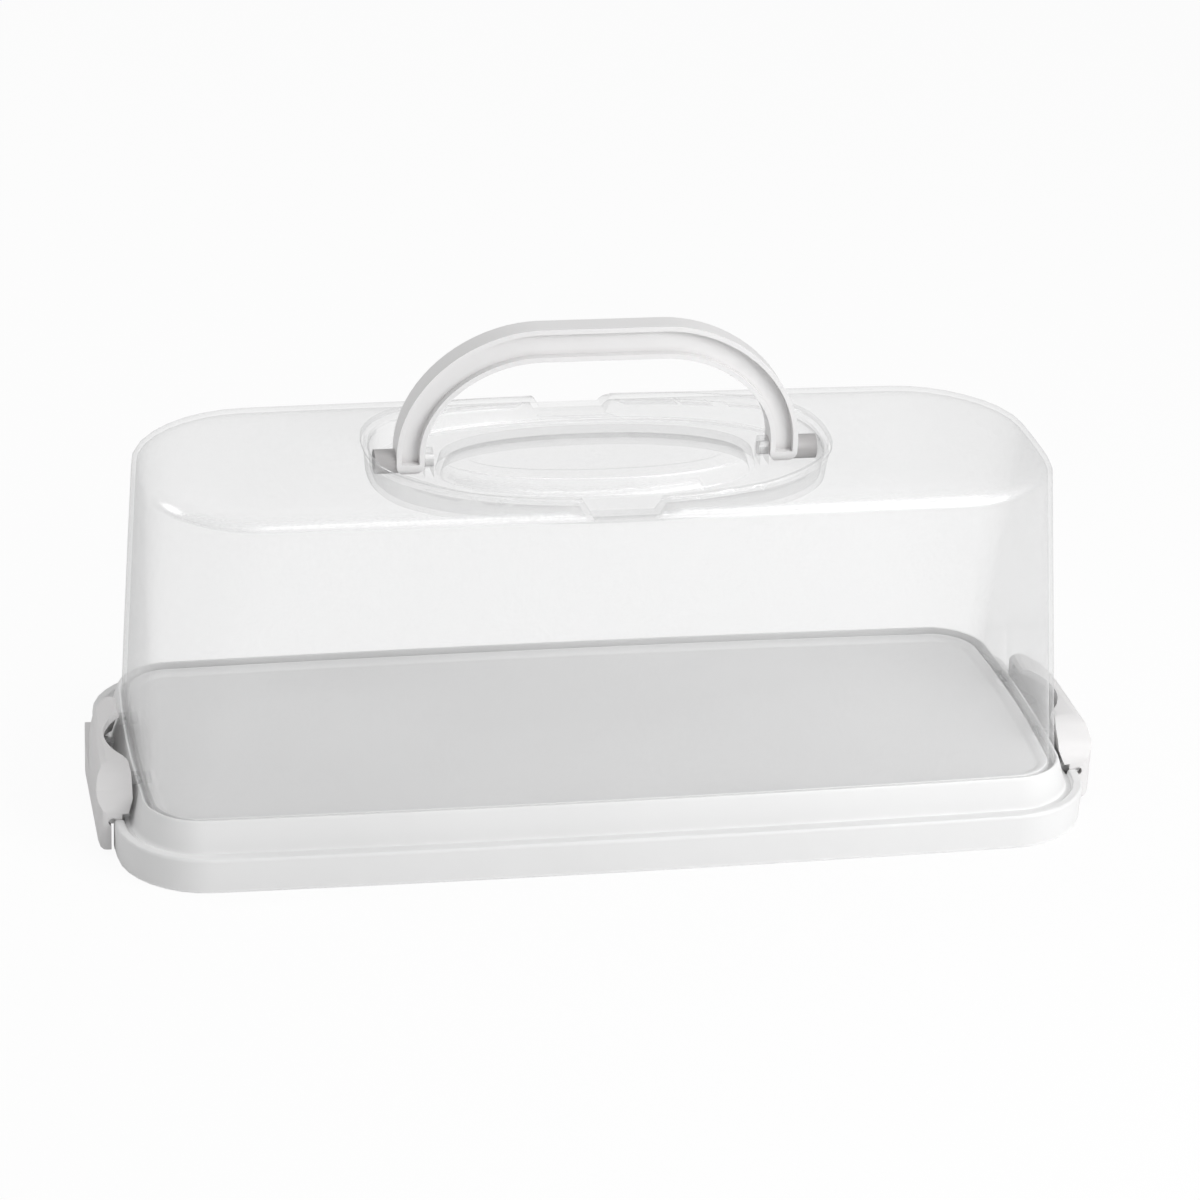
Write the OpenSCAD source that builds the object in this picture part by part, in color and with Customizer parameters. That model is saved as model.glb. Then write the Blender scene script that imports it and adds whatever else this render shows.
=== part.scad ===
// Loaf cake carrier: a stepped tray, a frosted lift-off cover with a sunk
// collar on top, a folding bail handle and a hinged latch at each end.
// X runs along the carrier, Y from front to back and Z up. The origin is the
// middle of the tray's underside, on the surface that it stands on.

/* [Tray] */
// Length of the tray, without the bow of its ends
tray_length = 358; // [357:1:361]
// Width of the tray, without the bow of its sides
tray_width = 157; // [154:1:162]
// Height of the skirt up to the top of the rim bead
rim_height = 14; // [13:0.5:14.5]
// Height of the raised step's lip above the table
lip_height = 23.4; // [22.5:0.1:24]
// How far the step's wall leans in from the ledge to the lip
step_draft = 3.6; // [2:0.2:4]
// Radius of the tray's corners, seen from above
tray_corner = 30; // [26:1:34]
// Wall thickness of the tray
tray_wall = 2; // [1.8:0.1:2.4]

/* [Cover] */
// Length of the cover at its foot, without the bow of its ends
cover_length = 337; // [334:1:338]
// Width of the cover at its foot, without the bow of its sides
cover_width = 130.8; // [128:0.2:134]
// Height of the cover's top above the table
cover_top = 136.2; // [135.6:0.2:137]
// Thickness of the cover's walls
cover_wall = 1.8; // [1.4:0.1:2]
// How far each end wall leans in between the foot and the shoulder
end_draft = 2.5; // [1.5:0.5:4]
// How far each side wall leans in between the foot and the shoulder
side_draft = 9.8; // [8:0.2:10]
// Depth of the rounded shoulder, measured inwards
shoulder_run = 14; // [12:1:16]
// Height of the rounded shoulder
shoulder_rise = 9; // [8:0.5:11]

/* [Collar] */
// Distance from the handle's legs to the collar's rim at its ends
leg_clearance = 12.1; // [11:0.1:13]
// Width of the oval collar at its rim
collar_width = 102; // [100:0.5:103]
// How far the collar's rim stands above the cover's surface at its long sides
collar_lift = 0.5; // [0.4:0.1:1]
// How much further it stands above the surface at the collar's ends
collar_rise = 1.5; // [1:0.1:2]
// Height of the sunk floor inside the collar
collar_floor = 126.2; // [125.8:0.1:126.3]

/* [Handle] */
// Height of the handle's top when it stands upright
handle_top = 182.2; // [180:0.2:184]
// Width over the handle's two legs
handle_width = 149.4; // [148:0.2:151]
// Length of the straight bar between the handle's round shoulders
handle_flat = 45.8; // [42:0.2:50]
// Thickness of the bar at the top, seen from the front
handle_bar = 12.4; // [11.4:0.2:13]
// Thickness of the two legs, seen from the front
handle_leg = 10.3; // [10:0.1:11]
// Depth of the handle from front to back
handle_depth = 10; // [9.5:0.5:11]
// Height of the handle's pins above the table
handle_pivot = 131.5; // [131.4:0.1:132]

/* [Latches] */
// Length of a latch along the tray's end
latch_width = 72; // [70:1:74]
// How far the latches' middle lies in front of the tray's middle
latch_offset = 8; // [6:0.5:9]
// Height of a latch's top above the table
latch_height = 30.5; // [29:0.5:32]
// Depth of a latch from its inner face to its outer face
latch_depth = 13; // [12.6:0.1:13.4]
// Height of the latch's hinge line
latch_pivot_z = 13; // [12.9:0.1:13.4]

/* [Fits] */
// Radial play of every pin in its bore
pin_play = 0.06; // [0.04:0.01:0.1]
// Gap between neighbouring pieces that don't touch
gap = 0.3; // [0.3:0.05:0.5]

/* [Hidden] */
$fn = 64;
eps = 0.01;
arch_steps = 20;

white = [0.93, 0.93, 0.92];
frosted = [0.93, 0.95, 0.96, 0.45];

corner_steps = 8;
long_steps = 12;
short_steps = 6;
end_bow = 3;
side_bow = 2.5;

// The tray's insets are measured inwards from its rim outline, and those of
// the raised step outwards from the cover's foot.
bead_width = 3.6;
channel_depth = 2;
ledge_height = rim_height - channel_depth;
ledge_under = ledge_height - tray_wall;
lip_thickness = 0.9;
seat_height = 20;
seat_width = 2.9;
ridge_height = 22.3;
ridge_width = 0.8;
deck_height = 20.5;
deck_under = deck_height - tray_wall;
deck_edge = 7.3;
deck_inner = 6;

// The cover's foot stands in the seat.
foot_corner = 17;
upper_corner = 40;
shoulder_start = cover_top - shoulder_rise;
shoulder_steps = 8;
corner_loss = 0.7;
top_edge = 0.8;
top_inset = 10;

collar_power = 2.5;
collar_flare = 2;
rise_from = 50;
rise_over = 30;
collar_count = 72;
collar_a = handle_width / 2 + leg_clearance;
collar_b = collar_width / 2;
moat_width = 23.5;
island_clearance = 1.5;
island_top = collar_floor + 6.4;
island_lip = 11;
island_groove = 1.2;

chute_top_width = 33;
chute_bottom_width = 23;
chute_top = cover_top + 1;
chute_floor = chute_top - 7.7;
chute_reach = cover_width / 2;
chute_root = collar_b - 2;
chute_mouth = collar_b - 5;

lug_thickness = 3.2;
lug_radius = 4.6;
handle_pin_radius = 2.5;
leg_half = handle_leg / 2;
leg_inner = handle_width / 2 - handle_leg;
lug_outer = leg_inner - gap;
lug_inner = lug_outer - lug_thickness;
island_a = lug_inner - island_clearance;
island_b = collar_b - moat_width;
boss_radius = 4.5;
boss_end = collar_a - 4.4;
handle_spring = handle_pivot + 4.5;
handle_power = 1.9;
handle_reach = handle_top - handle_spring;
web_recess = 3.4;
bead_thickness = 1.9;

latch_half = latch_width / 2;
latch_shell = 3;
latch_stand_off = 2.5;
latch_inner_x = cover_length / 2 + end_bow + latch_stand_off;
latch_outer_x = latch_inner_x + latch_depth;
hinge_depth = 5.6;
latch_pivot_x = latch_outer_x - hinge_depth;
latch_foot = 2;
wing_bottom = 16;
wing_slope = 5;
wing_back = 1.8;
tail_inner_x = latch_pivot_x + 0.8;
cheek_inner_x = latch_pivot_x - 2;
slit_width = 1.1;
slope_run = 14;
slope_drop = 14;
end_round = 4;
back_cut = 1.6;
back_start = 4;
wing_from = -6;
wing_to = 34.5;
wing_base = latch_pivot_z + 5.4;
wing_power = 1.8;
latch_panel = 2.2;
wing_roof = 2;
back_run = 4;
back_drop = 9;
slot_depth = 7.5;
slot_half = latch_half - slope_run - 2;
slot_radius = (slot_half * slot_half + slot_depth * slot_depth) / (2 * slot_depth);
latch_pin_radius = 1.5;
ear_radius = 2.4;
ear_outer = latch_half - latch_shell - 2;
ear_width = 4;
pin_end = latch_half - 2;
notch_half = latch_half + 0.4;
notch_x = cover_length / 2 + end_bow + gap + lip_thickness + step_draft + 0.5;

catch_out = latch_inner_x - gap;
catch_low = lip_height + 0.6;
catch_high = catch_low + 1.6;
catch_from = slot_half + 1;
catch_to = catch_from + 7;

// A rounded rectangle with bowed sides, as points that run anticlockwise.
function plan(half_l, half_w, r, bow_x, bow_y) =
    let (
        cx = half_l - r,
        cy = half_w - r,
        centre = [[cx, cy], [-cx, cy], [-cx, -cy], [cx, -cy]],
        raw = [for (q = [0:3]) each quarter(centre[q], centre[(q + 1) % 4], r, 90 * q,
                                            q % 2 == 0 ? long_steps : short_steps)]
    )
    [for (p = raw) [bowed(p.x, half_l, bow_x, p.y / half_w), bowed(p.y, half_w, bow_y, p.x / half_l)]];

// One corner's arc and the straight stretch that follows it.
function quarter(centre, next, r, turn, steps) =
    let (
        out = [cos(turn + 90), sin(turn + 90)],
        from = centre + r * out,
        to = next + r * out
    )
    concat(
        [for (i = [0:corner_steps]) centre + r * [cos(turn + 90 * i / corner_steps), sin(turn + 90 * i / corner_steps)]],
        [for (i = [1:steps - 1]) from + (to - from) * i / steps]
    );

// One coordinate, pushed outwards most at the middle of its side.
function bowed(value, half, bow, along) = value * (1 + bow / half * (1 - along * along));

// A rounded oval with half-lengths a and b.
function oval(a, b, power, count) =
    [for (i = [0:count - 1]) [a * curved(cos(360 * i / count), power), b * curved(sin(360 * i / count), power)]];

function curved(value, power) = sign(value) * pow(abs(value), 2 / power);

// Adds one height to a flat outline, or a height of its own to each point.
function lift(outline, z) = [for (p = outline) [p.x, p.y, z]];

function smooth(t) = let (s = min(max(t, 0), 1)) s * s * (3 - 2 * s);

// A closed solid through a stack of outlines that have equally many points.
module loft(rings) {
    count = len(rings[0]);
    last = (len(rings) - 1) * count;
    points = [for (ring = rings) each ring];
    low_cap = [for (i = [0:count - 1]) i];
    high_cap = [for (i = [count - 1:-1:0]) last + i];
    sides = [for (j = [0:len(rings) - 2], i = [0:count - 1])
        let (here = j * count, there = here + count, next = (i + 1) % count)
        [here + i, there + i, there + next, here + next]];
    polyhedron(points, concat([low_cap, high_cap], sides), convexity = 8);
}

// One outline of the tray, set in from the rim's outline.
function rim_outline(inset, z) =
    lift(plan(tray_length / 2 - inset, tray_width / 2 - inset, tray_corner - inset, end_bow, side_bow), z);

// One outline round the cover's foot, set out from it.
function foot_outline(out, z) =
    lift(plan(cover_length / 2 + out, cover_width / 2 + out, foot_corner + out, end_bow, side_bow), z);

module tray_shell() {
    lip_out = gap + lip_thickness;
    base_out = lip_out + step_draft;
    seat_in = gap - seat_width;
    under = [
        foot_outline(-deck_edge - deck_inner, deck_under),
        foot_outline(seat_in - tray_wall - 0.6, deck_under),
        foot_outline(seat_in - tray_wall, seat_height - tray_wall),
        foot_outline(lip_out - tray_wall + 0.6, seat_height - tray_wall),
        foot_outline(base_out - tray_wall, ledge_under),
        rim_outline(tray_wall + 1.4, ledge_under),
        rim_outline(tray_wall + 1.2, 0)
    ];
    skirt = [
        rim_outline(1.6, 0),
        rim_outline(0.8, 0.5),
        rim_outline(0.4, 1.6),
        rim_outline(0, rim_height - 1.4),
        rim_outline(0.3, rim_height - 0.4),
        rim_outline(1, rim_height),
        rim_outline(bead_width - 0.6, rim_height),
        rim_outline(bead_width, rim_height - 0.4),
        rim_outline(bead_width + 0.3, ledge_height)
    ];
    step = [
        foot_outline(base_out, ledge_height),
        foot_outline(base_out - 0.4, ledge_height + 0.6),
        foot_outline(lip_out + 0.5, lip_height - 1.4),
        foot_outline(lip_out, lip_height - 0.3),
        foot_outline(lip_out - 0.2, lip_height),
        foot_outline(gap + 0.2, lip_height),
        foot_outline(gap, lip_height - 0.2),
        foot_outline(gap, seat_height),
        foot_outline(seat_in, seat_height),
        foot_outline(seat_in, ridge_height - 0.4),
        foot_outline(seat_in - 0.4, ridge_height),
        foot_outline(seat_in - 0.4 - ridge_width, ridge_height),
        foot_outline(-deck_edge + 1.4, deck_height + 0.3),
        foot_outline(-deck_edge, deck_height),
        foot_outline(-deck_edge - deck_inner, deck_height)
    ];
    loft(concat(under, skirt, step));
}

// Runs along Y, with its flat outline drawn in X and Z.
module along_y(from, to) {
    translate([0, to, 0])
        rotate([90, 0, 0])
            linear_extrude(to - from)
                children();
}

// Runs along X, with its flat outline drawn in Y and Z.
module along_x(from, to) {
    translate([from, 0, 0])
        rotate([90, 0, 90])
            linear_extrude(to - from)
                children();
}

// The ear that carries one of the latch's stub pins, with its web.
module ear() {
    along_y(ear_outer - ear_width, ear_outer) {
        translate([latch_pivot_x, latch_pivot_z])
            circle(ear_radius);
        polygon([
            [notch_x - 2, ledge_under + 0.6],
            [latch_pivot_x, latch_pivot_z - ear_radius + 0.2],
            [latch_pivot_x, latch_pivot_z + ear_radius - 0.2],
            [notch_x - 2, ledge_height + 1.6]
        ]);
    }
    along_y(ear_outer - eps, pin_end)
        translate([latch_pivot_x, latch_pivot_z])
            circle(latch_pin_radius);
}

module tray_end() {
    ear();
    mirror([0, 1, 0])
        ear();
}

module tray() {
    color(white) {
        difference() {
            tray_shell();
            for (side = [0, 1])
                mirror([side, 0, 0])
                    translate([notch_x, -latch_offset - notch_half, -1])
                        cube([20, 2 * notch_half, rim_height + 2]);
        }
        translate([0, -latch_offset, 0]) {
            tray_end();
            mirror([1, 0, 0])
                tray_end();
        }
    }
}

// One outline of the cover's wall. in_x and in_y say how far it is set in
// from the foot. The corners grow rounder towards the shoulder.
function cover_outline(in_x, in_y, r, z) =
    lift(plan(cover_length / 2 - in_x, cover_width / 2 - in_y, r, end_bow, side_bow), z);

// The rings of one side of the cover's wall, from the foot to the top.
function cover_skin(inset, top_z) = concat(
    [for (i = [0:3])
        let (t = i / 3)
        cover_outline(inset + end_draft * t, inset + side_draft * t,
                      foot_corner + (upper_corner - foot_corner) * t - inset,
                      seat_height + (shoulder_start - seat_height) * t)],
    [for (i = [1:shoulder_steps])
        let (
            turn = 90 * i / shoulder_steps,
            run = inset + shoulder_run * (1 - cos(turn))
        )
        cover_outline(end_draft + run, side_draft + run, upper_corner - inset - (run - inset) * corner_loss,
                      shoulder_start + (top_z - top_edge - shoulder_start) * sin(turn))],
    [cover_outline(end_draft + shoulder_run + top_inset, side_draft + shoulder_run + top_inset,
                   upper_corner - shoulder_run - top_inset + 4, top_z)]
);

function reversed(list) = [for (i = [len(list) - 1:-1:0]) list[i]];

module cover_shell() {
    loft(concat(reversed(cover_skin(cover_wall, cover_top - cover_wall)), cover_skin(0, cover_top)));
}

module cover_solid() {
    loft(cover_skin(0, cover_top));
}

// One outline of the collar, set in from its rim.
function collar_ring(inset, z) = lift(oval(collar_a - inset, collar_b - inset, collar_power, collar_count), z);

// Height of the cover's surface at a distance y from its middle line.
function roof_height(y) =
    let (
        inset = cover_width / 2 + side_bow - side_draft - abs(y),
        round = 1 - min(max(inset / shoulder_run, 0), 1),
        flat = min(max((inset - shoulder_run) / top_inset, 0), 1)
    )
    shoulder_start + (cover_top - top_edge - shoulder_start) * sqrt(1 - round * round) + top_edge * flat;

// The collar's rim, which follows the cover's surface.
function rim_ring(inset, drop) =
    let (
        rim = oval(collar_a, collar_b, collar_power, collar_count),
        here = oval(collar_a - inset, collar_b - inset, collar_power, collar_count)
    )
    [for (i = [0:collar_count - 1])
        [here[i].x, here[i].y, roof_height(rim[i].y) + collar_lift - drop
                               + collar_rise * smooth((abs(rim[i].x) - rise_from) / rise_over)]];

function island_ring(inset, z) = lift(oval(island_a - inset, island_b - inset, 2.2, collar_count), z);

module collar() {
    under = [
        island_ring(15, island_top - cover_wall - island_groove),
        island_ring(1.5 + cover_wall, island_top - cover_wall - 1),
        island_ring(cover_wall, collar_floor - cover_wall),
        collar_ring(collar_flare + 1.4, collar_floor - cover_wall),
        collar_ring(collar_flare + 0.2, collar_floor - 0.6)
    ];
    outer = [
        rim_ring(1.4, 5.5),
        rim_ring(0.5, 1.4),
        rim_ring(0, 1.1),
        rim_ring(0, 0.2)
    ];
    inner = [
        rim_ring(0.2, 0),
        rim_ring(1.3, 0),
        rim_ring(1.6, 0.5),
        rim_ring(1.4 + cover_wall, 5.5),
        collar_ring(collar_flare + cover_wall, collar_floor + 0.6),
        collar_ring(collar_flare + cover_wall + 0.6, collar_floor)
    ];
    island = [
        island_ring(-0.6, collar_floor),
        island_ring(0, collar_floor + 0.6),
        island_ring(1.3, island_top - 0.6),
        island_ring(1.9, island_top),
        island_ring(island_lip - 0.6, island_top),
        island_ring(island_lip, island_top - 0.5),
        island_ring(15, island_top - island_groove)
    ];
    loft(concat(under, outer, inner, island));
}

// The outline of a finger chute, drawn in X and Z.
module chute_outline(grow) {
    polygon([
        [-chute_bottom_width / 2 - grow, chute_floor - grow],
        [chute_bottom_width / 2 + grow, chute_floor - grow],
        [chute_top_width / 2 + grow, chute_top],
        [-chute_top_width / 2 - grow, chute_top]
    ]);
}

// Both chutes, from a distance y outwards. A positive grow draws their walls.
module chutes(from, grow) {
    for (side = [0, 1])
        mirror([0, side, 0])
            along_y(from, chute_reach)
                chute_outline(grow);
}

module lug() {
    along_x(lug_inner, lug_outer) {
        translate([0, handle_pivot])
            circle(lug_radius);
        translate([-lug_radius, collar_floor - cover_wall / 2])
            square([2 * lug_radius, handle_pivot - collar_floor + cover_wall / 2]);
    }
}

module catch_rib() {
    root = cover_length / 2 - cover_wall;
    translate([root, catch_from, catch_low])
        cube([catch_out - root, catch_to - catch_from, catch_high - catch_low]);
}

module cover_end() {
    lug();
    translate([0, -latch_offset, 0]) {
        catch_rib();
        mirror([0, 1, 0])
            catch_rib();
    }
}

module cover() {
    color(frosted)
        difference() {
            union() {
                difference() {
                    cover_shell();
                    linear_extrude(cover_top + 10)
                        polygon(oval(collar_a - collar_flare - cover_wall / 2, collar_b - collar_flare - cover_wall / 2,
                                     collar_power, collar_count));
                }
                collar();
                intersection() {
                    cover_solid();
                    chutes(chute_root, cover_wall);
                }
                cover_end();
                mirror([1, 0, 0])
                    cover_end();
            }
            chutes(chute_mouth, 0);
            for (side = [0, 1])
                mirror([side, 0, 0])
                    along_x(lug_inner - 0.6, lug_outer + 1)
                        translate([0, handle_pivot])
                            circle(handle_pin_radius + pin_play);
        }
}

// Half of an arch: a quarter of a full oval between the leg and the flat bar.
function arch_side(side, half_w, reach, from, to) =
    [for (i = [0:arch_steps])
        let (turn = from + (to - from) * i / arch_steps)
        [side * (handle_flat / 2 + (half_w - handle_flat / 2) * curved(cos(turn), handle_power)),
         handle_spring + reach * curved(sin(turn), handle_power)]];

module arch_outline(half_w, reach, low) {
    polygon(concat(
        [[half_w, low]],
        arch_side(1, half_w, reach, 0, 90),
        arch_side(-1, half_w, reach, 90, 0),
        [[-half_w, low]]
    ));
}

// The handle's arch, drawn in X and Z. A positive trim makes it slimmer.
module arch(trim, low) {
    difference() {
        arch_outline(handle_width / 2 - trim, handle_reach - trim, low);
        arch_outline(leg_inner + trim, handle_reach - handle_bar + trim, low - 1);
    }
}

// The handle's legs end in half rounds, so that they turn above the floor.
module handle_profile() {
    translate([0, handle_pivot])
        circle(handle_depth / 2);
    translate([-handle_depth / 2, handle_pivot])
        square([handle_depth, handle_top - handle_pivot + 1]);
}

module handle() {
    color(white) {
        difference() {
            intersection() {
                along_y(-handle_depth, handle_depth) {
                    arch(0, handle_pivot);
                    for (side = [-1, 1])
                        translate([side * (handle_width / 2 - leg_half), handle_pivot])
                            circle(leg_half);
                }
                along_x(-handle_width, handle_width)
                    handle_profile();
            }
            for (side = [0, 1])
                mirror([0, side, 0])
                    along_y(handle_depth / 2 - web_recess, handle_depth / 2 + 1)
                        arch(bead_thickness, handle_pivot);
        }
        for (side = [0, 1])
            mirror([side, 0, 0]) {
                along_x(lug_inner - 0.3, leg_inner + 1)
                    translate([0, handle_pivot])
                        circle(handle_pin_radius);
                along_x(handle_width / 2 - 1, boss_end)
                    translate([0, handle_pivot])
                        circle(boss_radius);
            }
    }
}

// The latch's outer shape, drawn in X and Z.
module latch_side() {
    polygon([
        [latch_inner_x + wing_back, wing_bottom],
        [latch_inner_x, wing_bottom + wing_slope],
        [latch_inner_x, latch_height - 2.2],
        [latch_inner_x + 0.7, latch_height - 0.7],
        [latch_inner_x + 2.2, latch_height],
        [latch_outer_x - 4.6, latch_height],
        [latch_outer_x - 2.4, latch_height - 0.7],
        [latch_outer_x - 1, latch_height - 2.2],
        [latch_outer_x - 0.3, latch_height - 4.6],
        [latch_outer_x + 0.2, latch_height - 8],
        [latch_outer_x + 0.2, latch_pivot_z - 4],
        [latch_outer_x - 0.4, latch_foot + 3],
        [latch_outer_x - 1.2, latch_foot + 0.8],
        [latch_outer_x - 2.4, latch_foot],
        [cheek_inner_x + 0.5, latch_foot],
        [cheek_inner_x, latch_foot + 0.5],
        [cheek_inner_x, latch_pivot_z - 1],
        [cheek_inner_x - 1.4, latch_pivot_z + 1],
        [cheek_inner_x - 1.4, wing_bottom]
    ]);
}

// The hollow inside the latch, drawn in X and Z.
module latch_hollow_side() {
    panel_inner = latch_pivot_x + ear_radius + gap;
    polygon([
        [latch_inner_x - 5, latch_foot - 5],
        [tail_inner_x, latch_foot - 5],
        [tail_inner_x, latch_pivot_z - ear_radius - gap - 1.4],
        [panel_inner, latch_pivot_z - ear_radius + 0.6],
        [panel_inner, latch_height - 6.5],
        [panel_inner - 1.2, latch_height - 3.8],
        [panel_inner - 3.4, latch_height - 2.8],
        [latch_inner_x - 5, latch_height - 2.8]
    ]);
}

// The latch seen from the end of the carrier, drawn in Y and Z. A positive
// trim draws the hollow inside it.
module latch_front(trim) {
    half = latch_half - trim;
    top = latch_height - trim;
    run = slope_run - trim * 0.4;
    drop = slope_drop - trim * 0.4;
    polygon([
        [-half, latch_foot - trim],
        [half, latch_foot - trim],
        [half, top - back_drop],
        [half - back_run * 0.3, top - back_drop * 0.4],
        [half - back_run, top],
        [-half + run, top],
        [-half + run * 0.65, top - drop * 0.13],
        [-half + run * 0.3, top - drop * 0.48],
        [-half + run * 0.1, top - drop * 0.78],
        [-half, top - drop]
    ]);
}

// The latch's lower part seen from above. Its front corner is round and its
// back half curves inwards a little.
module foot_plan() {
    polygon(concat(
        [[latch_inner_x - 5, latch_half], [latch_inner_x - 5, -latch_half]],
        [for (turn = [-90:15:0])
            [latch_outer_x - end_round + end_round * cos(turn), end_round - latch_half + end_round * sin(turn)]],
        [for (i = [0:8])
            let (t = i / 8)
            [latch_outer_x - back_cut * t * t, back_start + (latch_half - back_start) * t]]
    ));
}

// The latch's wing seen from above. Its back half sweeps in to the cover. A
// positive trim draws the hollow inside it.
module wing_plan(trim) {
    polygon(concat(
        [[latch_inner_x - 5, wing_to - trim], [latch_inner_x - 5, -latch_half]],
        [for (turn = [-90:15:0])
            [latch_outer_x - trim - end_round + end_round * cos(turn), end_round - latch_half + end_round * sin(turn)]],
        [for (turn = [0:9:90])
            [latch_inner_x + (latch_depth - trim) * curved(cos(turn), wing_power),
             wing_from + (wing_to - trim - wing_from) * curved(sin(turn), wing_power)]]
    ));
}

module latch_plans(panel, roof) {
    linear_extrude(wing_base - roof)
        foot_plan();
    linear_extrude(latch_height + 1)
        wing_plan(panel);
}

module latch() {
    color(white)
        difference() {
            intersection() {
                along_y(-latch_half, latch_half)
                    latch_side();
                along_x(latch_inner_x - 1, latch_outer_x + 1)
                    latch_front(0);
                latch_plans(0, 0);
            }
            intersection() {
                along_y(-latch_half, latch_half)
                    latch_hollow_side();
                along_x(latch_inner_x - 10, latch_outer_x + 1)
                    latch_front(latch_shell);
                latch_plans(latch_panel, wing_roof);
            }
            translate([latch_inner_x + slot_depth - slot_radius, 0, wing_bottom - 2])
                cylinder(h = latch_height, r = slot_radius, $fn = 180);
            along_y(-latch_half - 1, latch_half + 1)
                translate([latch_pivot_x, latch_pivot_z])
                    circle(latch_pin_radius + pin_play);
            for (side = [0, 1])
                mirror([0, side, 0])
                    translate([latch_pivot_x - slit_width / 2, latch_half - latch_shell - 1, latch_foot - 1])
                        cube([slit_width, latch_shell + 2, latch_pivot_z - latch_foot + 1]);
        }
}

module latch_right() {
    translate([0, -latch_offset, 0])
        latch();
}

module latch_left() {
    mirror([1, 0, 0])
        latch_right();
}

tray();
cover();
handle();
latch_left();
latch_right();
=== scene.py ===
"""The looks of a loaf cake carrier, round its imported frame. All lengths are in metres."""
import bpy
import bmesh
import math
from mathutils import Matrix, Vector


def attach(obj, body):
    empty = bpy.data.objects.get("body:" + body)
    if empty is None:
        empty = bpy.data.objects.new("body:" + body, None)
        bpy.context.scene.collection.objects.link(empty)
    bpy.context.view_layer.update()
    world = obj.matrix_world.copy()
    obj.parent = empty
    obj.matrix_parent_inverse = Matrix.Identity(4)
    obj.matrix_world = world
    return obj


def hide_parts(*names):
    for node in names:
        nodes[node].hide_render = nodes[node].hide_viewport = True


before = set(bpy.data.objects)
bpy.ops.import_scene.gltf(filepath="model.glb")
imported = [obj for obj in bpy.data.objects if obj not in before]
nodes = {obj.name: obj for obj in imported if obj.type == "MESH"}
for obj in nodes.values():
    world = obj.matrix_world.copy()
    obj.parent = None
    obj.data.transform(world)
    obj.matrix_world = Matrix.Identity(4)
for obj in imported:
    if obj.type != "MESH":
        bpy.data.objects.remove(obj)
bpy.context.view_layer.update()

MM = 0.001

# ---------------------------------------------------------------- camera and light

# The camera's place and turn were solved from the outlines in the photograph.
CAMERA_PLACE = Vector((-0.29908, -1.39342, 0.71495))
CAMERA_YAW = math.radians(12.266)
CAMERA_PITCH = math.radians(24.2576)
CAMERA_ROLL = math.radians(2.5916)
CAMERA_LENS = 126.0
SENSOR_WIDTH = 36.0
CLIP_START = 0.05
CLIP_END = 50.0

# Each lamp: name, angle from the front towards +X, angle above the floor, both in degrees,
# distance, width and height, and power in watts.
LAMPS = (
    ("front_box", 42, 27, 1.15, (0.8, 0.5), 8.6),
    ("strip_box", 26, 64, 1.7, (1.5, 0.08), 2.6),
    ("corner_box", -118, 38, 1.5, (0.3, 0.3), 3.5),
)
LAMP_TARGET = Vector((0, 0, 0.1))
SOFT_LIGHT = 0.52

WHITE = (1, 1, 1)
FLOOR_HALF_WIDTH = 6.0
FLOOR_TONE = (0.8, 0.8, 0.8)
FLOOR_ROUGHNESS = 0.9
FLOOR_GLOW = 0.93


def aim(yaw, pitch, roll):
    """The turn of a camera that looks along +Y, then turns towards +X, down, and rolls."""
    ahead = math.cos(pitch)
    forward = Vector((math.sin(yaw) * ahead, math.cos(yaw) * ahead, -math.sin(pitch)))
    level = Vector((math.cos(yaw), -math.sin(yaw), 0.0))
    rise = level.cross(forward)
    right = math.cos(roll) * level + math.sin(roll) * rise
    up = math.cos(roll) * rise - math.sin(roll) * level
    return Matrix((right, up, -forward)).transposed()


def add_object(name, data):
    """A new object for this data, linked to the scene."""
    thing = bpy.data.objects.new(name, data)
    bpy.context.scene.collection.objects.link(thing)
    return thing


def add_camera():
    data = bpy.data.cameras.new("photo_camera")
    data.lens = CAMERA_LENS
    data.sensor_width = SENSOR_WIDTH
    data.clip_start = CLIP_START
    data.clip_end = CLIP_END
    camera = add_object("photo_camera", data)
    turn = aim(CAMERA_YAW, CAMERA_PITCH, CAMERA_ROLL).to_4x4()
    camera.matrix_world = Matrix.Translation(CAMERA_PLACE) @ turn
    bpy.context.scene.camera = camera


def add_lamp(name, side, height, distance, size, power):
    """A soft box that faces the carrier; it isn't seen itself."""
    data = bpy.data.lights.new(name, "AREA")
    data.shape = "RECTANGLE"
    data.size = size[0]
    data.size_y = size[1]
    data.energy = power
    lamp = add_object(name, data)
    turn = math.radians(side)
    rise = math.radians(height)
    out = math.cos(rise)
    way = Vector((math.sin(turn) * out, -math.cos(turn) * out, math.sin(rise)))
    place = Matrix.Translation(LAMP_TARGET + distance * way)
    lamp.matrix_world = place @ (-way).to_track_quat("-Z", "Y").to_matrix().to_4x4()
    lamp.visible_camera = False


def add_lights():
    for lamp in LAMPS:
        add_lamp(*lamp)


# ---------------------------------------------------------------- helpers for materials

# The middle stretch of a noise, which is mapped to a full range.
NOISE_LOW = 0.3
NOISE_HIGH = 0.7


def new_material(name):
    """A new material; returns it, its node tree and its Principled shader."""
    material = bpy.data.materials.new(name)
    material.use_nodes = True
    tree = material.node_tree
    return material, tree, tree.nodes["Principled BSDF"]


def fill(tree, socket, value):
    """Links an output to a socket, or sets a colour or a number on it."""
    if isinstance(value, bpy.types.NodeSocket):
        tree.links.new(value, socket)
    elif isinstance(value, tuple):
        socket.default_value = (*value, 1)
    else:
        socket.default_value = value


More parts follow.
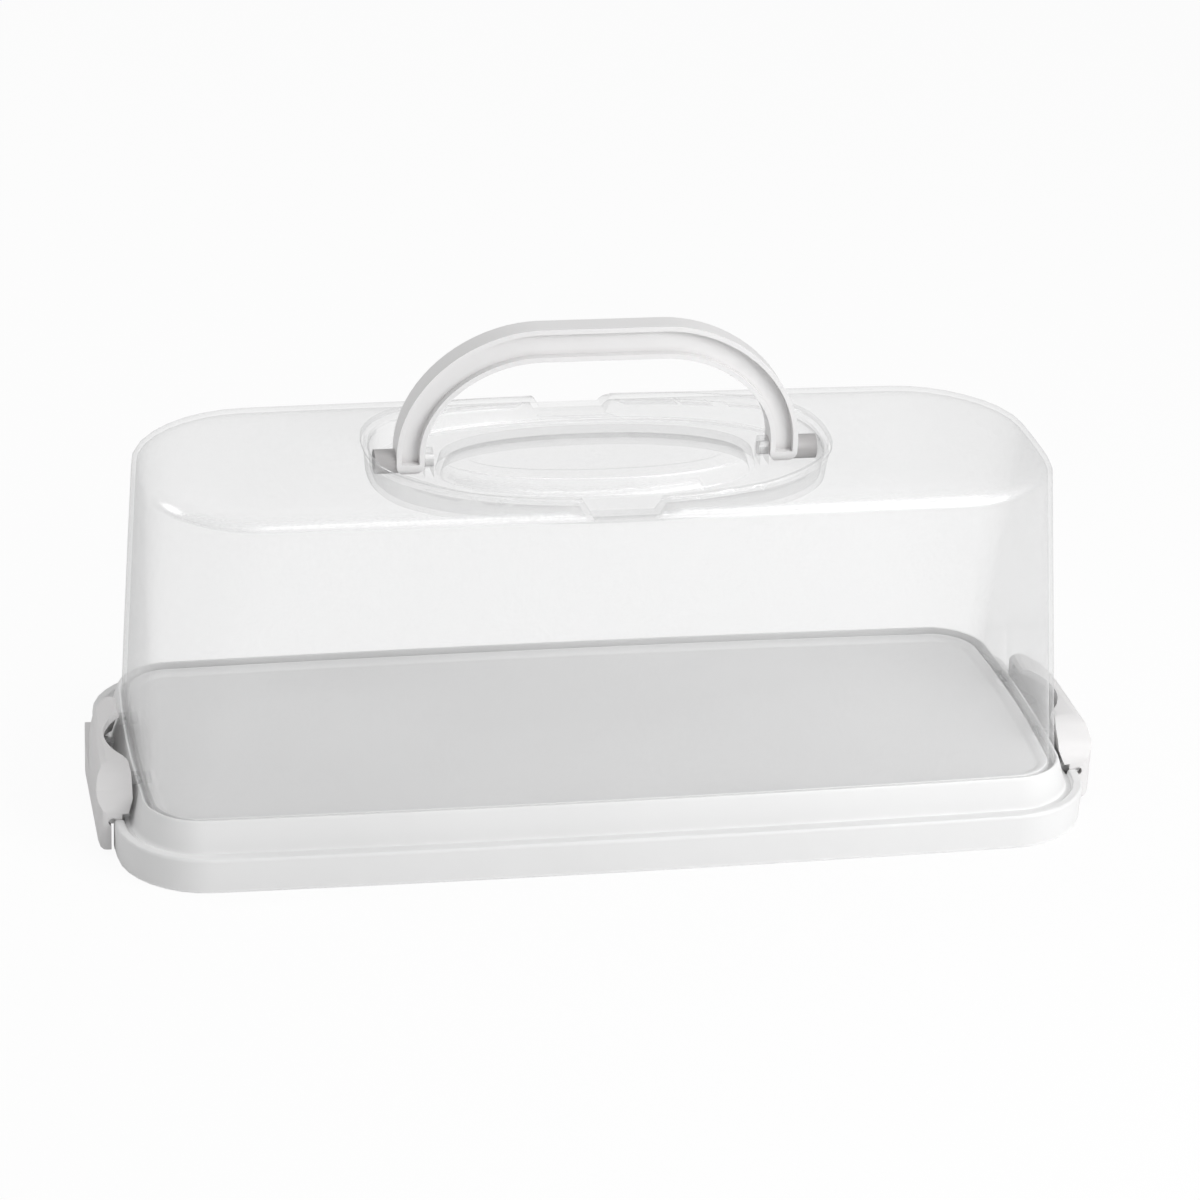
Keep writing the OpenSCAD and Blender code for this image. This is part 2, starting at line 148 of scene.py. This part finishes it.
def noise(tree, scale, detail, stretch=(1, 1, 1)):
    """A noise in object coordinates."""
    place = tree.nodes.new("ShaderNodeTexCoord")
    mapping = tree.nodes.new("ShaderNodeMapping")
    texture = tree.nodes.new("ShaderNodeTexNoise")
    mapping.inputs["Scale"].default_value = stretch
    fill(tree, mapping.inputs["Vector"], place.outputs["Object"])
    fill(tree, texture.inputs["Vector"], mapping.outputs["Vector"])
    fill(tree, texture.inputs["Scale"], scale)
    fill(tree, texture.inputs["Detail"], detail)
    return texture.outputs["Fac"]


def spread(tree, source, low, high, from_low=NOISE_LOW, from_high=NOISE_HIGH):
    """Maps from_low..from_high to low..high and clamps there."""
    span = tree.nodes.new("ShaderNodeMapRange")
    fill(tree, span.inputs["Value"], source)
    fill(tree, span.inputs["From Min"], from_low)
    fill(tree, span.inputs["From Max"], from_high)
    fill(tree, span.inputs["To Min"], low)
    fill(tree, span.inputs["To Max"], high)
    return span.outputs["Result"]


def combine(tree, kind, first, second):
    """One Math node on two outputs, or on an output and a number."""
    node = tree.nodes.new("ShaderNodeMath")
    node.operation = kind
    fill(tree, node.inputs[0], first)
    fill(tree, node.inputs[1], second)
    return node.outputs[0]


def blend_colours(tree, share, low, high):
    """A colour between low and high; share picks the place between them."""
    mix = tree.nodes.new("ShaderNodeMix")
    mix.data_type = "RGBA"
    fill(tree, mix.inputs["A"], low)
    fill(tree, mix.inputs["B"], high)
    fill(tree, mix.inputs["Factor"], share)
    return mix.outputs["Result"]


def bump(tree, pattern, strength, depth):
    """A Bump node on a pattern."""
    node = tree.nodes.new("ShaderNodeBump")
    fill(tree, node.inputs["Height"], pattern)
    fill(tree, node.inputs["Strength"], strength)
    fill(tree, node.inputs["Distance"], depth)
    return node


GRAIN_DETAIL = 3.0
GRAIN_STRENGTH = 0.25
WAVE_SCALE = 38.0
WAVE_DETAIL = 2.0
WAVE_TO_GRAIN = 6


def grain(tree, shader, depth, scale, wave_strength):
    """The fine bump of a moulded surface, with a slow waviness over it."""
    fine = bump(tree, noise(tree, scale, GRAIN_DETAIL), GRAIN_STRENGTH, depth)
    slow = bump(tree, noise(tree, WAVE_SCALE, WAVE_DETAIL), wave_strength, WAVE_TO_GRAIN * depth)
    fill(tree, slow.inputs["Normal"], fine.outputs["Normal"])
    fill(tree, shader.inputs["Normal"], slow.outputs["Normal"])


# ---------------------------------------------------------------- opaque plastics

DRIFT_SCALE = 14.0
DRIFT_DETAIL = 3.0
CREASE_SAMPLES = 8
SCUFF_SCALE = 420.0
SCUFF_DETAIL = 4.0
SCUFF_STRETCH = (0.25, 1.0, 1.0)
SCUFF_GLOSSIER = 0.06
SCUFF_ROUGHER = 0.07
OPAQUE_GRAIN_DEPTH = 0.03 * MM
OPAQUE_GRAIN_SCALE = 1600.0
OPAQUE_WAVE = 0.1


def crease_share(tree, reach, closed, clear):
    """How open a spot is to its surroundings within reach: 0 in a crease, 1 on an open face. It places
    the tone that is painted in creases in place of their shading.
    """
    crease_shading = tree.nodes.new("ShaderNodeAmbientOcclusion")
    crease_shading.samples = CREASE_SAMPLES
    fill(tree, crease_shading.inputs["Distance"], reach)
    return spread(tree, crease_shading.outputs["AO"], 0, 1, closed, clear)


def moulded_plastic(name, pale, deep, crease_shading, reach, rough, closed=0.12, clear=0.62):
    """Satin plastic: a slow drift from deep to pale, a tone painted in creases in place of their shading
    (painted shade on most parts, painted light on the tray), scuffs and a fine grain.
    """
    material, tree, shader = new_material(name)
    drift = spread(tree, noise(tree, DRIFT_SCALE, DRIFT_DETAIL), 0, 1)
    tone = blend_colours(tree, drift, deep, pale)
    open_share = crease_share(tree, reach, closed, clear)
    # painted shade: the crease_shading colour is laid on where the crease share says a spot is closed in
    fill(tree, shader.inputs["Base Color"], blend_colours(tree, open_share, crease_shading, tone))
    scuff = noise(tree, SCUFF_SCALE, SCUFF_DETAIL, SCUFF_STRETCH)
    roughness = spread(tree, scuff, rough - SCUFF_GLOSSIER, rough + SCUFF_ROUGHER)
    fill(tree, shader.inputs["Roughness"], roughness)
    grain(tree, shader, OPAQUE_GRAIN_DEPTH, OPAQUE_GRAIN_SCALE, OPAQUE_WAVE)
    return material


def tray_plastic():
    """White, with painted light in the groove: paler there, standing in for light that comes through the
    thin lip, over the shade that falls in the groove.
    """
    return moulded_plastic(
        "tray_plastic",
        pale=(0.77, 0.77, 0.77),
        deep=(0.745, 0.745, 0.745),
        # painted light: this pale tone is laid in the groove in place of its shade
        crease_shading=(0.95, 0.95, 0.95),
        reach=4 * MM,
        rough=0.42,
        closed=0.3,
        clear=0.75,
    )


def handle_plastic():
    """White with a warm tinge, and painted shade greying the channel along the bar."""
    return moulded_plastic(
        "handle_plastic",
        pale=(0.78, 0.775, 0.775),
        deep=(0.75, 0.745, 0.745),
        # painted shade: grey laid in the channel and the other creases
        crease_shading=(0.56, 0.54, 0.54),
        reach=4 * MM,
        rough=0.42,
        closed=0.15,
        clear=0.65,
    )


def pin_plastic():
    """The handle's white without its grey painted crease shade, for the stub pins; a lighter painted
    shade stays in their creases.
    """
    return moulded_plastic(
        "pin_plastic",
        pale=(0.78, 0.78, 0.78),
        deep=(0.75, 0.75, 0.75),
        # painted shade: a light grey laid in the pins' creases
        crease_shading=(0.7, 0.7, 0.7),
        reach=2 * MM,
        rough=0.42,
    )


def boss_shade_plastic():
    """Mid grey, for the bosses outside the handle's legs: painted shade, standing in for the shade in the
    pockets there, with darker painted shade in its creases.
    """
    return moulded_plastic(
        "boss_shade_plastic",
        # painted shade: the whole boss is made mid grey to stand for the shade beside the legs
        pale=(0.46, 0.45, 0.45),
        deep=(0.4, 0.39, 0.39),
        crease_shading=(0.2, 0.2, 0.2),
        reach=4 * MM,
        rough=0.4,
    )


def latch_plastic():
    """A slightly greyer white, with painted shade darkening its hollows."""
    return moulded_plastic(
        "latch_plastic",
        pale=(0.71, 0.7, 0.7),
        deep=(0.67, 0.665, 0.665),
        # painted shade: dark grey laid in the hollows
        crease_shading=(0.3, 0.29, 0.29),
        reach=5 * MM,
        rough=0.45,
        closed=0.05,
        clear=0.5,
    )


# ---------------------------------------------------------------- frosted plastic

FROST_PALE = (0.75, 0.75, 0.755)
FROST_DEEP = (0.70, 0.70, 0.705)
FROST_DRIFT_SCALE = 9.0
FROST_DRIFT_DETAIL = 2.0

# The density runs from THIN, seen square on, to DENSE, seen edge on. A level face has less of it.
THIN = 0.085
DENSE = 0.62
FACING_BLEND = 0.5
EDGE_POWER = 3.0
LEVEL_FACE_SHARE = 0.3

# The bends between wall and roof that are turned to the eye carry a painted highlight: they are whiter
# and denser. How far the normal points up says where a bend starts and ends; the facing value says how
# squarely it is seen.
BEND_HIGHLIGHT_TONE = (0.93, 0.93, 0.935)
BEND_HIGHLIGHT_DENSITY = 0.45
BEND_STARTS = (0.35, 0.62)
BEND_ENDS = (0.74, 0.97)
BEND_FACING = (0.05, 0.5)

HAZE_SCALE = 700.0
HAZE_DETAIL = 3.0
HAZE_RANGE = (0.9, 1.1)
FROST_SCUFF_SCALE = 260.0
FROST_SCUFF_DETAIL = 4.0
FROST_ROUGHNESS = (0.17, 0.25)
FROST_GLOSS = 1.0
FROST_IOR = 1.8
FROST_GRAIN_DEPTH = 0.012 * MM
FROST_GRAIN_SCALE = 1400.0
FROST_WAVE = 0.02


def upward(tree):
    """How far the normal points up, from -1 to 1."""
    place = tree.nodes.new("ShaderNodeTexCoord")
    split = tree.nodes.new("ShaderNodeSeparateXYZ")
    fill(tree, split.inputs[0], place.outputs["Normal"])
    return split.outputs["Z"]


def facing_away(tree):
    """How far a face is turned from the eye: 0 square on, 1 edge on."""
    edge = tree.nodes.new("ShaderNodeLayerWeight")
    fill(tree, edge.inputs["Blend"], FACING_BLEND)
    return edge.outputs["Facing"]


def painted_highlight_share(tree, rise, away):
    """How far a spot lies on a bend between wall and roof that is turned to the eye, which gets the
    painted highlight: 0 to 1.
    """
    starts = spread(tree, rise, 0.0, 1.0, *BEND_STARTS)
    ends = spread(tree, rise, 1.0, 0.0, *BEND_ENDS)
    towards = spread(tree, away, 1.0, 0.0, *BEND_FACING)
    return combine(tree, "MULTIPLY", combine(tree, "MULTIPLY", starts, ends), towards)


def wall_density(tree, rise, away):
    """The density of the wall, from THIN to DENSE."""
    turned = combine(tree, "POWER", away, EDGE_POWER)
    level = combine(tree, "MULTIPLY", rise, rise)
    upright = spread(tree, level, 1.0, LEVEL_FACE_SHARE, 0.0, 1.0)
    return spread(tree, combine(tree, "MULTIPLY", turned, upright), THIN, DENSE, 0.0, 1.0)


def frosted_plastic():
    """See-through milky plastic: denser edge on, with a painted highlight (whiter and denser) on the
    bends turned to the eye, a fine haze and soft gloss.
    """
    material, tree, shader = new_material("frosted_plastic")
    rise = upward(tree)
    away = facing_away(tree)
    highlight = painted_highlight_share(tree, rise, away)
    # painted highlight: the bends turned to the eye are made denser
    highlight_density = combine(tree, "MULTIPLY", highlight, BEND_HIGHLIGHT_DENSITY)
    body = combine(tree, "ADD", wall_density(tree, rise, away), highlight_density)
    haze = spread(tree, noise(tree, HAZE_SCALE, HAZE_DETAIL), *HAZE_RANGE)
    fill(tree, shader.inputs["Alpha"], combine(tree, "MULTIPLY", body, haze))
    drift = spread(tree, noise(tree, FROST_DRIFT_SCALE, FROST_DRIFT_DETAIL), 0, 1)
    tone = blend_colours(tree, drift, FROST_DEEP, FROST_PALE)
    # painted highlight: the bends turned to the eye are coloured whiter
    fill(tree, shader.inputs["Base Color"], blend_colours(tree, highlight, tone, BEND_HIGHLIGHT_TONE))
    scuff = noise(tree, FROST_SCUFF_SCALE, FROST_SCUFF_DETAIL)
    fill(tree, shader.inputs["Roughness"], spread(tree, scuff, *FROST_ROUGHNESS))
    fill(tree, shader.inputs["Specular IOR Level"], FROST_GLOSS)
    fill(tree, shader.inputs["IOR"], FROST_IOR)
    grain(tree, shader, FROST_GRAIN_DEPTH, FROST_GRAIN_SCALE, FROST_WAVE)
    return material


# ---------------------------------------------------------------- floor and background


def white_for_camera(tree, shader, share, output):
    """Shows white instead of the shader, by a share, where the camera looks straight at it."""
    glow = tree.nodes.new("ShaderNodeEmission")
    fill(tree, glow.inputs["Color"], WHITE)
    path = tree.nodes.new("ShaderNodeLightPath")
    mix = tree.nodes.new("ShaderNodeMixShader")
    seen = combine(tree, "MULTIPLY", path.outputs["Is Camera Ray"], share)
    fill(tree, mix.inputs[0], seen)
    fill(tree, mix.inputs[1], shader.outputs[0])
    fill(tree, mix.inputs[2], glow.outputs[0])
    fill(tree, output.inputs["Surface"], mix.outputs[0])


def floor_material():
    material, tree, shader = new_material("studio_floor")
    fill(tree, shader.inputs["Base Color"], FLOOR_TONE)
    fill(tree, shader.inputs["Roughness"], FLOOR_ROUGHNESS)
    white_for_camera(tree, shader, FLOOR_GLOW, tree.nodes["Material Output"])
    return material


def add_world():
    """Even light from all sides, and a white background for the camera."""
    world = bpy.data.worlds.new("studio")
    bpy.context.scene.world = world
    world.use_nodes = True
    tree = world.node_tree
    back = tree.nodes["Background"]
    fill(tree, back.inputs["Color"], WHITE)
    fill(tree, back.inputs["Strength"], SOFT_LIGHT)
    white_for_camera(tree, back, 1.0, tree.nodes["World Output"])


def add_floor():
    bm = bmesh.new()
    bmesh.ops.create_grid(bm, x_segments=1, y_segments=1, size=FLOOR_HALF_WIDTH)
    mesh = bpy.data.meshes.new("studio_floor")
    bm.to_mesh(mesh)
    bm.free()
    mesh.materials.append(floor_material())
    add_object("studio_floor", mesh)


# ---------------------------------------------------------------- pieces

MERGE_DISTANCE = 0.002 * MM
SMOOTH_ANGLE = math.radians(35)
# Faces that differ by less than this are joined. The shells keep their slow curves.
SHELL_FLATNESS = math.radians(0.05)
SMALL_PIECE_FLATNESS = math.radians(0.5)

HANDLE_EDGE = 0.5 * MM
LATCH_EDGE = 0.4 * MM
EDGE_SEGMENTS = 3

# The handle's bosses lie outside its legs, and its stub pins low down between them.
LEG_OUTER = 74.75 * MM
LEG_INNER = 64.3 * MM
PIN_TOP = 136 * MM
BOSS_INDEX = 1
PIN_INDEX = 2


def merged_mesh(node, name, flatness):
    """A copy of a node's mesh with doubles merged and flat stretches joined."""
    bm = bmesh.new()
    bm.from_mesh(nodes[node].data)
    bmesh.ops.remove_doubles(bm, verts=bm.verts, dist=MERGE_DISTANCE)
    bmesh.ops.dissolve_limit(bm, angle_limit=flatness, verts=bm.verts, edges=bm.edges)
    mesh = bpy.data.meshes.new(name)
    bm.to_mesh(mesh)
    bm.free()
    return mesh


def smooth_copy(node, name, material, flatness):
    """A smooth copy of a node in this material, which stands in for the node."""
    mesh = merged_mesh(node, name, flatness)
    for polygon in mesh.polygons:
        polygon.use_smooth = True
    mesh.set_sharp_from_angle(angle=SMOOTH_ANGLE)
    mesh.materials.clear()
    mesh.materials.append(material)
    piece = add_object(name, mesh)
    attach(piece, node)
    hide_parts(node)
    return piece


def round_edges(piece, width):
    edge = piece.modifiers.new("edges", "BEVEL")
    edge.width = width
    edge.segments = EDGE_SEGMENTS
    edge.limit_method = "ANGLE"
    edge.angle_limit = SMOOTH_ANGLE
    edge.harden_normals = True


def even_normals(piece):
    """Lets the large faces of a shell look flat beside its bends."""
    even = piece.modifiers.new("even_normals", "WEIGHTED_NORMAL")
    even.keep_sharp = True


def colour_pins(handle, boss, pin):
    """Gives the stub pins their own plastic, and the bosses a mid grey that paints the shade beside the
    legs.
    """
    mesh = handle.data
    mesh.materials.append(boss)
    mesh.materials.append(pin)
    for polygon in mesh.polygons:
        out = abs(polygon.center.x)
        if out > LEG_OUTER:
            polygon.material_index = BOSS_INDEX
        elif out < LEG_INNER and polygon.center.z < PIN_TOP:
            polygon.material_index = PIN_INDEX


def tray_shell():
    even_normals(smooth_copy("tray", "tray_shell", tray_plastic(), SHELL_FLATNESS))


def cover_shell():
    even_normals(smooth_copy("cover", "cover_shell", frosted_plastic(), SHELL_FLATNESS))


def handle_bail():
    handle = smooth_copy("handle", "handle_bail", handle_plastic(), SMALL_PIECE_FLATNESS)
    round_edges(handle, HANDLE_EDGE)
    colour_pins(handle, boss_shade_plastic(), pin_plastic())


def latch_wings():
    plastic = latch_plastic()
    for node in ("latch_left", "latch_right"):
        wing = smooth_copy(node, node + "_wing", plastic, SMALL_PIECE_FLATNESS)
        round_edges(wing, LATCH_EDGE)


add_camera()
add_lights()
add_world()
add_floor()
tray_shell()
cover_shell()
handle_bail()
latch_wings()

bpy.context.scene.view_settings.view_transform = "Standard"
